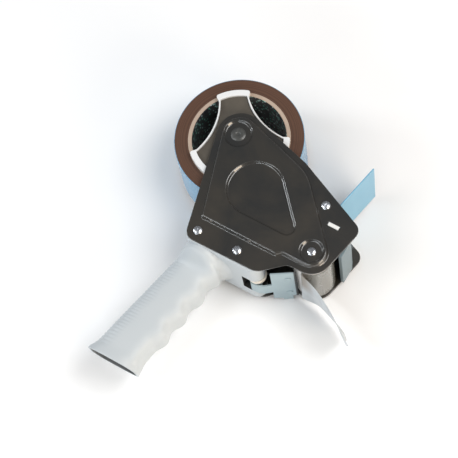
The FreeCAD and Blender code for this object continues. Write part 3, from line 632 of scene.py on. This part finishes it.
def addCamera(look):
    data = bpy.data.cameras.new("mainCamera")
    camera = bpy.data.objects.new("mainCamera", data)
    scene.collection.objects.link(camera)
    data.lens = look["lens"]
    data.sensor_width = 36.0
    data.clip_start = 0.05
    data.clip_end = 30.0
    right = Vector(look["right"]).normalized()
    up = Vector(look["up"])
    back = right.cross(up).normalized()
    up = back.cross(right)
    turn = Matrix((right, up, back)).transposed()
    camera.matrix_world = Matrix.Translation(Vector(look["place"]) * mm) @ turn.to_4x4()
    scene.camera = camera


def addLight(look):
    data = bpy.data.lights.new(look["name"], "AREA")
    data.shape = "RECTANGLE"
    data.size = look["size"][0] * mm
    data.size_y = look["size"][1] * mm
    data.energy = look["power"]
    data.color = look["tint"]
    light = bpy.data.objects.new(look["name"], data)
    scene.collection.objects.link(light)
    place = Vector(look["place"]) * mm
    light.location = place
    light.rotation_euler = (Vector(lightAim) * mm - place).to_track_quat("-Z", "Y").to_euler()


floorFinish = {"colour": (0.97, 0.97, 0.975), "wornAndSheen": (0.98, 0.98, 0.98), "rough": 0.7, "patch": 3.0,
               "specks": 0.0, "specular": 0.2, "bump": 0.02}


def addFloor():
    deselectAll()
    bpy.ops.mesh.primitive_plane_add(size=9.0, location=(0.04, -0.07, cadLow.z - 0.0004))
    floor = bpy.context.active_object
    floor.name = "floor"
    floor.data.materials.append(makeFinish("paleFloor", floorFinish))


def setWorld():
    world = bpy.data.worlds.new("softRoom")
    scene.world = world
    world.use_nodes = True
    back = world.node_tree.nodes["Background"]
    back.inputs["Color"].default_value = (0.95, 0.97, 1.0, 1)
    back.inputs["Strength"].default_value = 0.20


scene.view_settings.view_transform = "Standard"
addCamera(cameraLook)
for look in lightLooks:
    addLight(look)
addFloor()
setWorld()
print("camera, lights and floor ready")


handleLook = {
    "top": -99.8, "length": 105.0, "backTop": 5.7, "lean": 12.4, "widthTop": 35.0, "widthEnd": 40.5,
    "thick": 33.0, "middle": 32.1, "grooveDepth": 3.3, "groovePitch": 21.3, "endFlare": 2.4,
    "ribPitch": 2.8, "ribDepth": 0.38, "wall": 2.4, "hollow": 60.0, "ringStep": 0.7, "around": 56,
    "buttSlope": 0.118, "buttDrop": 1.0, "buttRun": 26.0, "filletRadius": 9.0, "wallLine": -96.6,
    "waveRun": 6.0, "flareRun": 15.0, "neckRun": 17.0, "neckSpread": 12.2, "shoulder": 9.0,
    "square": 3.0, "frontSquare": 1.4, "overlap": 3.5,
    "bodyLow": 4.2, "bodyHigh": 62.0, "bodyNose": (65.4, -88.6), "bodyNoseRadius": 8.0,
    "bodyTail": (13.7, -87.3), "bodyTailRadius": 9.2,
    "slotLow": 17.7, "slotHigh": 39.3, "slotStart": 57.5,
}


def bump01(value):
    value = max(0.0, min(1.0, value))
    return value * value * (3 - 2 * value)


def gripShape(look, y):
    # back and front edge, half thickness and squareness at this height
    drop = look["top"] - y
    back = look["backTop"] - drop * math.tan(math.radians(look["lean"]))
    share = drop / look["length"]
    front = back + look["widthTop"] + share * (look["widthEnd"] - look["widthTop"])
    firstRidge = look["top"] - 1.3 * look["groovePitch"]
    lastGroove = firstRidge - 2.5 * look["groovePitch"]
    wave = -0.5
    if y > lastGroove:
        wave = 0.5 * math.cos(2 * math.pi * (firstRidge - y) / look["groovePitch"])
    wave *= bump01(drop / look["waveRun"])
    endShare = bump01((drop - look["length"] + look["flareRun"]) / look["flareRun"])
    flare = look["endFlare"] * endShare * endShare
    front += look["grooveDepth"] * (wave + 0.5 * endShare)
    half = look["thick"] / 2 + 0.5 * flare
    neck = bump01(1 - drop / look["neckRun"])
    half += look["neckSpread"] * neck * neck
    if drop < look["shoulder"]:
        back = min(back, look["backTop"] - 0.6 + 0.02 * drop)
    return back - flare, front + flare, half, look["square"] - 0.5 * neck


def buttLean(look, drop):
    # how far the slanted butt plane pulls this ring
    return bump01((drop - look["length"] + look["buttRun"]) / look["buttRun"])


def gripRing(look, y, shrink=0.0, ribbed=True):
    back, front, half, square = gripShape(look, y)
    back += shrink
    front -= shrink
    half -= shrink
    centre = (back + front) / 2
    reach = (front - back) / 2
    drop = look["top"] - y
    along = bump01((drop - 3.0) / 6.0) * bump01((look["length"] - 4.0 - drop) / 5.0)
    rib = 0.0
    if ribbed:
        rib = look["ribDepth"] * along * (0.5 - 0.5 * math.cos(2 * math.pi * drop / look["ribPitch"]))
    lean = buttLean(look, drop)
    radius = look["filletRadius"]
    below = min(max(look["wallLine"] - y, 0.0), radius) / radius
    fillet = radius * (1 - math.sqrt(1 - (1 - below) ** 2))
    spots = []
    for index in range(look["around"]):
        angle = 2 * math.pi * index / look["around"]
        power = square + (look["frontSquare"] * along if math.cos(angle) > 0 else 0.0)
        across = math.copysign(abs(math.cos(angle)) ** (2 / power), math.cos(angle))
        deep = math.copysign(abs(math.sin(angle)) ** (2 / power), math.sin(angle))
        cut = rib * bump01((-across - 0.32) / 0.15)
        x = centre + (reach - cut) * across + fillet * max(0.0, across) ** 2 * (1 - deep ** 4)
        rise = (half - cut) * deep
        fall = lean * (rise * look["buttSlope"] + look["buttDrop"])
        spots.append(Vector((x, y - fall, look["middle"] + rise)) * mm)
    return spots


def makeGrip(look):
    end = look["top"] - look["length"]
    start = look["top"] + look["overlap"]
    rings = [gripRing(look, start, 1.2, False)]
    for index in range(int((look["length"] + look["overlap"]) / look["ringStep"])):
        rings.append(gripRing(look, start - index * look["ringStep"]))
    wall = look["wall"]
    for rise, shrink in ((0.25, 0.15), (0.0, 0.7), (0.0, wall - 0.4), (0.4, wall)):
        rings.append(gripRing(look, end + rise, shrink, False))
    hollowStart = (len(rings) - 1) * look["around"]
    hollow = dict(look, grooveDepth=0.6)
    for rise in (8.0, 25.0, 45.0, look["hollow"]):
        rings.append(gripRing(hollow, end + rise, wall + 0.02 * rise, False))
    piece = growRings(rings)
    mask = piece.data.attributes.new("inHollow", "FLOAT", "POINT")
    for index in range(hollowStart, len(piece.data.vertices)):
        mask.data[index].value = 1.0
    return piece


def makeBody(look):
    # long rounded block between the plates
    steps = 14
    spots = []
    nose, tail = Vector(look["bodyNose"]), Vector(look["bodyTail"])
    ends = ((nose, look["bodyNoseRadius"], -90), (tail, look["bodyTailRadius"], 90))
    for centre, radius, start in ends:
        for index in range(steps + 1):
            angle = math.radians(start + 180 * index / steps)
            spots.append(centre + radius * Vector((math.cos(angle), math.sin(angle))))
    rings = []
    for level in (look["bodyLow"], look["bodyHigh"]):
        rings.append([Vector((spot.x, spot.y, level)) * mm for spot in spots])
    piece = growRings(rings)
    facesOutwards(piece)
    applyModifier(piece, "BEVEL", width=0.8 * mm, segments=3, limit_method="ANGLE",
                  angle_limit=math.radians(60), use_clamp_overlap=False)
    return piece


def makeSlotBlock(look):
    deselectAll()
    bpy.ops.mesh.primitive_cube_add(size=1.0)
    block = bpy.context.active_object
    low = Vector((look["slotStart"], look["bodyNose"][1] - 20, look["slotLow"])) * mm
    high = Vector((look["bodyNose"][0] + 20, look["bodyNose"][1] + 20, look["slotHigh"])) * mm
    block.scale = high - low
    block.location = (low + high) / 2
    bpy.ops.object.transform_apply(location=True, rotation=True, scale=True)
    return block


def makeHandle(look):
    grip = makeGrip(look)
    facesOutwards(grip)
    body = makeBody(look)
    block = makeSlotBlock(look)
    applyModifier(body, "BOOLEAN", operation="DIFFERENCE", object=block, solver="EXACT")
    applyModifier(grip, "BOOLEAN", operation="UNION", object=body, solver="EXACT")
    for spare in (body, block):
        bpy.data.objects.remove(spare)
    smoothPiece(grip, 40)
    return settle(grip, "pistolHandle", "frame", "handle_plastic", handleMaterial, "handle")


makeHandle(handleLook)
print("handle ready")


dressed = [
    {"node": "near_side_plate", "name": "nearPlate", "body": "frame", "slot": "plate_paint",
     "material": plateMaterial, "edge": 0.3, "corner": 60, "soft": 48},
    {"node": "far_side_plate", "name": "loadingPlate", "body": "frame", "slot": "plate_paint",
     "material": plateMaterial, "edge": 0.3, "corner": 60, "soft": 48},
    {"node": "hub_axle", "name": "hubAxle", "body": "frame", "slot": "rivet_dark",
     "material": rivetMaterial, "edge": 0.25, "corner": 30, "soft": 50},
    {"node": "hub_drum", "name": "tapeDrum", "body": "tape_hub", "slot": "drum_plastic",
     "material": drumMaterial, "edge": 0.35, "ears": (41.0, 3.3)},
    {"node": "hub_spider", "name": "drumInsert", "body": "tape_hub", "slot": "spider_plastic",
     "material": spiderMaterial, "edge": 0.25},
    {"node": "tension_knob", "name": "brakeKnob", "body": "brake_knob", "slot": "knob_plastic",
     "material": knobMaterial, "edge": 0.5},
    {"node": "front_guard", "name": "frontGuard", "body": "frame", "slot": "guard_plastic",
     "material": guardMaterial, "edge": 0.35},
    {"node": "flap", "name": "wiperFlap", "body": "wiper_flap", "slot": "flap_plastic",
     "material": flapMaterial, "edge": 0.2},
    {"node": "blade", "name": "bladeStrip", "body": "blade_arm", "slot": "steel_blade",
     "material": bladeMaterial, "edge": 0.05},
]
for look in dressed:
    dressNode(look)
print("dressed pieces ready")


carrierLook = {
    "heel": (81.0, -90.2), "slope": 31.7, "thick": 1.2, "pivot": (67.0, -88.6), "pinRadius": 2.05,
    "armLow": 18.1, "armHigh": 34.1, "edge": 0.18,
    "outline": [(0, 57.45), (18.4, 57.45), (18.4, 8.4), (15.6, 8.4), (15.6, 0.6), (7.7, 0.6), (7.7, 3.5),
                (0, 3.5)],                          # along the slope, height
    "route": [(-3.2, 0.6), (-3.6, -5.4), (-2.9, -7.2), (-1.4, -8.1), (4.6, -7.8), (9.4, -5.6)],
}


def stripOutline(points, thick):
    # both sides of a bent strip, seen edge on
    left = []
    for index, point in enumerate(points):
        before = points[max(index - 1, 0)]
        after = points[min(index + 1, len(points) - 1)]
        along = (after - before).normalized()
        left.append(point + Vector((-along.y, along.x)) * thick)
    return points + left[::-1]


def plateBlock(corners, offset):
    piece = growRings([[spot * mm for spot in corners], [(spot + offset) * mm for spot in corners]])
    facesOutwards(piece)
    return piece


def circleSpots(centre, radius, level, steps=40):
    turns = [2 * math.pi * index / steps for index in range(steps)]
    return [Vector((centre.x + radius * math.cos(turn), centre.y + radius * math.sin(turn), level))
            for turn in turns]


def makeCarrier(look):
    slope = math.radians(look["slope"])
    along = Vector((math.cos(slope), math.sin(slope), 0))
    normal = Vector((-along.y, along.x, 0))
    heel = Vector((*look["heel"], 0))
    corners = [heel + along * share + Vector((0, 0, level)) for share, level in look["outline"]]
    plate = plateBlock(corners, normal * look["thick"])
    pivot = Vector(look["pivot"])
    route = [pivot + Vector(spot) for spot in look["route"]] + [heel.xy + along.xy]
    height = Vector((0, 0, look["armHigh"] - look["armLow"]))
    sides = [Vector((*spot, look["armLow"])) for spot in stripOutline(route, look["thick"])]
    arm = plateBlock(sides, height)
    barrel = plateBlock(circleSpots(pivot, look["pinRadius"] + look["thick"], look["armLow"]), height)
    bore = plateBlock(circleSpots(pivot, look["pinRadius"], look["armLow"] - 1), height * 1.3)
    for other, operation in ((arm, "UNION"), (barrel, "UNION"), (bore, "DIFFERENCE")):
        applyModifier(plate, "BOOLEAN", operation=operation, object=other, solver="EXACT")
        bpy.data.objects.remove(other)
    applyModifier(plate, "BEVEL", width=look["edge"] * mm, segments=2, limit_method="ANGLE",
                  angle_limit=math.radians(50), use_clamp_overlap=True)
    smoothPiece(plate, 40)
    return settle(plate, "bladeCarrier", "blade_arm", "steel_bright", sheetMaterial, "blade_carrier")


capLook = {"profile": [(3.6, 34.7), (6.9, 34.7), (7.5, 35.0), (7.75, 35.7), (7.75, 38.5), (7.4, 39.0),
                       (3.6, 39.0)], "steps": 64}


def makeSpringCap(look):
    # glossy cup round the carrier spring under the handle's nose; its cream colour is partly a painted warm
    # highlight
    pivot = Vector((*carrierLook["pivot"], 0)) * mm
    cap = spinProfile(look["profile"], pivot, look["steps"])
    smoothPiece(cap, 40)
    return settle(cap, "springCap", "frame", "bush_plastic", creamMaterial)


makeCarrier(carrierLook)
makeSpringCap(capLook)
print("carrier ready")


screwLook = {
    "profile": [(1.4, -11.0), (2.0, -10.3), (2.0, 0.0), (3.55, 0.0), (3.7, 0.14), (3.7, 0.55), (3.52, 1.0),
                (3.0, 1.42), (2.2, 1.72), (1.2, 1.87), (0.5, 1.9)],
    "sides": 36, "crossLong": 1.75, "crossWide": 0.4, "crossDeep": 0.9,
}


def makeScrew(look, place, seat, upwards, turn):
    rings = [circleSpots(Vector((0, 0)), radius, height, look["sides"]) for radius, height in look["profile"]]
    screw = growRings([[spot * mm for spot in ring] for ring in rings])
    facesOutwards(screw)
    top = look["profile"][-1][1]
    for quarter in (0, 90):
        deselectAll()
        bpy.ops.mesh.primitive_cube_add(size=1.0)
        cutter = bpy.context.active_object
        cutter.scale = Vector((2 * look["crossLong"], 2 * look["crossWide"], 2 * look["crossDeep"])) * mm
        cutter.location = (0, 0, top * mm)
        cutter.rotation_euler.z = math.radians(quarter + turn)
        bpy.ops.object.transform_apply(location=True, rotation=True, scale=True)
        applyModifier(screw, "BOOLEAN", operation="DIFFERENCE", object=cutter, solver="EXACT")
        bpy.data.objects.remove(cutter)
    if not upwards:
        screw.rotation_euler.x = math.pi
    screw.location = (place.x, place.y, seat)
    makeActive(screw)
    bpy.ops.object.transform_apply(location=True, rotation=True, scale=True)
    return screw


def makeScrewSet(node, name, upwards):
    # one screw for each solid of the node, on the seat of its head
    low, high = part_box(node)
    height = screwLook["profile"][-1][1] * mm
    seat = high.z - height if upwards else low.z + height
    screws = []
    for number, place in enumerate(screwPlaces[node]):
        screws.append(makeScrew(screwLook, Vector(place) * mm, seat, upwards, 20 + 37 * number))
    return joinPieces(screws, name, node)


def joinPieces(pieces, name, node):
    deselectAll()
    for piece in pieces:
        piece.select_set(True)
    bpy.context.view_layer.objects.active = pieces[0]
    bpy.ops.object.join()
    smoothPiece(pieces[0], 42)
    return settle(pieces[0], name, "frame", "zinc_screw", zincMaterial, node)


plateScrews = [(13.7, -86.8, 0), (49.5, -86.4, 0), (92.1, -20.2, 0)]
rollerScrew = Vector((101.8, -59.8, 0)) * mm
screwPlaces = {"near_screws": plateScrews, "far_screws": plateScrews}
makeScrewSet("near_screws", "nearScrews", True)
makeScrewSet("far_screws", "loadingScrews", False)
rollerLow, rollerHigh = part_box("roller_screws")
headHeight = screwLook["profile"][-1][1] * mm
rollerPair = [makeScrew(screwLook, rollerScrew, rollerHigh.z - headHeight, True, 35),
              makeScrew(screwLook, rollerScrew, rollerLow.z + headHeight, False, 10)]
joinPieces(rollerPair, "rollerScrews", "roller_screws")
print("screws ready")


rollLook = {"inner": 41.8, "outer": 53.0, "low": 6.2, "high": 56.2, "rounding": 0.35, "ripple": 0.07}
coreLook = {"inner": 38.1, "outer": 41.78, "low": 6.2, "high": 56.2, "rounding": 0.3, "ripple": 0.0}


def ringProfile(look):
    # closed section of a ring, corners rounded, its faces slightly uneven
    soft = look["rounding"]
    inner, outer, low, high = look["inner"], look["outer"], look["low"], look["high"]
    points = []
    corners = [(inner, low, 180), (outer, low, 270), (outer, high, 0), (inner, high, 90)]
    faces = {0: (outer - soft, high, -1), 180: (inner + soft, low, 1)}
    span = outer - inner - 2 * soft
    for radius, height, start in corners:
        middleRadius = radius + (soft if radius == inner else -soft)
        middleHeight = height + (soft if height == low else -soft)
        for step in range(4):
            angle = math.radians(start + 30 * step)
            points.append((middleRadius + soft * math.cos(angle), middleHeight + soft * math.sin(angle)))
        if not look["ripple"] or start not in faces:
            continue
        edge, level, way = faces[start]
        for step in range(1, 9):
            lift = look["ripple"] * way if step % 2 else 0.0
            points.append((edge + way * span * step / 9, level + lift))
    return points


def makeRoll():
    roll = spinProfile(ringProfile(rollLook), Vector((0, 0, 0)), 160)
    smoothPiece(roll, 40)
    settle(roll, "woundRoll", "tape_hub", "tape_brown", woundMaterial, "tape_roll")
    core = spinProfile(ringProfile(coreLook), Vector((0, 0, 0)), 128)
    smoothPiece(core, 40)
    settle(core, "cardCore", "tape_hub", "card", cardMaterial, "tape_core")


webLook = {"rollRadius": 53.3, "rollerRadius": 16.3, "roller": (101.8, -59.8), "thick": 0.25,
           "levels": (6.25, 18.0, 31.2, 44.0, 56.15), "endAngle": -93.0, "steps": 64}


def webPath(look):
    roller = Vector(look["roller"])
    swing = math.asin((look["rollRadius"] + look["rollerRadius"]) / roller.length)
    direction = math.atan2(roller.y, roller.x) + swing
    down = direction - math.pi / 2
    start = (look["rollRadius"] + look["thick"]) * Vector((math.cos(down), math.sin(down)))
    first = direction + math.pi / 2
    last = math.radians(look["endAngle"])
    touch = roller + look["rollerRadius"] * Vector((math.cos(first), math.sin(first)))
    points = [start.lerp(touch, share) for share in (0, 0.25, 0.5, 0.75, 0.97)]
    for step in range(look["steps"] + 1):
        angle = first + (last - first) * step / look["steps"]
        points.append(roller + look["rollerRadius"] * Vector((math.cos(angle), math.sin(angle))))
    return points


def filmStrip(rows, thick):
    # rows of points across the film; the strip is closed with a thin wall
    deselectAll()
    across = len(rows[0])
    bpy.ops.mesh.primitive_grid_add(x_subdivisions=across - 1, y_subdivisions=len(rows) - 1, size=0.01)
    piece = bpy.context.active_object
    for index, vertex in enumerate(piece.data.vertices):
        vertex.co = rows[index // across][index % across]
    applyModifier(piece, "SOLIDIFY", thickness=thick * mm, offset=1.0, use_even_offset=True)
    facesOutwards(piece)
    smoothPiece(piece, 50)
    return piece


def makeWeb():
    rows = []
    for point in webPath(webLook):
        rows.append([Vector((point.x, point.y, level)) * mm for level in webLook["levels"]])
    piece = filmStrip(rows, webLook["thick"])
    settle(piece, "filmWeb", "frame", "tape_film", filmMaterial, "tape_web")


tailLook = {
    "middle": 31.2, "halfWidth": 24.9, "thick": 0.12, "steps": 60, "across": 10, "ripple": 0.5, "curl": 1.6,
    "line": [(101.3, -77.4), (102.4, -79.3), (110.8, -80.7), (118.0, -82.4), (125.6, -85.6),
             (135.8, -90.6), (142.6, -94.0), (149.8, -98.9), (156.2, -103.6)],
    "crosses": [(0.0, 0.0, 1.0), (0.04, 0.03, 1.0), (0.08, -0.03, 1.0), (0.09, -0.09, 1.0),
                (0.12, -0.15, 0.98), (0.16, -0.22, 0.96), (0.17, -0.27, 0.95), (0.20, -0.31, 0.93),
                (0.25, -0.33, 0.91)],
}


def throughPoints(points, share):
    # smooth run through evenly shared points
    last = len(points) - 1
    spot = share * last
    index = min(int(spot), last - 1)
    t = spot - index
    p1, p2 = points[index], points[index + 1]
    p0 = points[index - 1] if index else p1 * 2 - p2
    p3 = points[index + 2] if index + 2 <= last else p2 * 2 - p1
    return 0.5 * (2 * p1 + (p2 - p0) * t + (2 * p0 - 5 * p1 + 4 * p2 - p3) * t * t
                  + (3 * p1 - p0 - 3 * p2 + p3) * t * t * t)


def makeTail(look):
    # middle line and the film's own cross direction, from the blade to the loose tip
    middles = [Vector((*spot, look["middle"])) for spot in look["line"]]
    crosses = [Vector(cross).normalized() for cross in look["crosses"]]
    rows = []
    for step in range(look["steps"] + 1):
        share = step / look["steps"]
        middle = throughPoints(middles, share)
        cross = throughPoints(crosses, share).normalized()
        row = []
        for index in range(look["across"] + 1):
            side = 2 * index / look["across"] - 1
            ripple = look["ripple"] * math.sin(share * 11.0 + side * 2.2) * share
            curl = look["curl"] * share * (side * side - 0.4)
            lift = Vector((0.35, 0.9, 0)) * (ripple + curl)
            row.append((middle + cross * side * look["halfWidth"] + lift) * mm)
        rows.append(row)
    piece = filmStrip(rows, look["thick"])
    settle(piece, "looseTail", "frame", "tape_film", tailMaterial, "tape_tail")


makeRoll()
makeWeb()
makeTail(tailLook)
print("tape ready")


carriedOver = {
    "hub_bush": bushMaterial, "friction_washer": bushMaterial, "spring_washer": zincMaterial,
    "tension_spring": springMaterial, "roller_axle": sheetMaterial, "roller_core": bushMaterial,
    "roller_sleeve": rubberMaterial, "roller_bushes": bushMaterial, "roller_washers": zincMaterial,
    "flap_shaft": sheetMaterial, "flap_spring": springMaterial, "flap_washers": zincMaterial,
    "blade_rivets": sheetMaterial, "carrier_pin": sheetMaterial, "carrier_spring": springMaterial,
}
for node, material in carriedOver.items():
    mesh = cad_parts[node].data
    mesh.materials.clear()
    mesh.materials.append(material)
print("carried-over nodes ready")
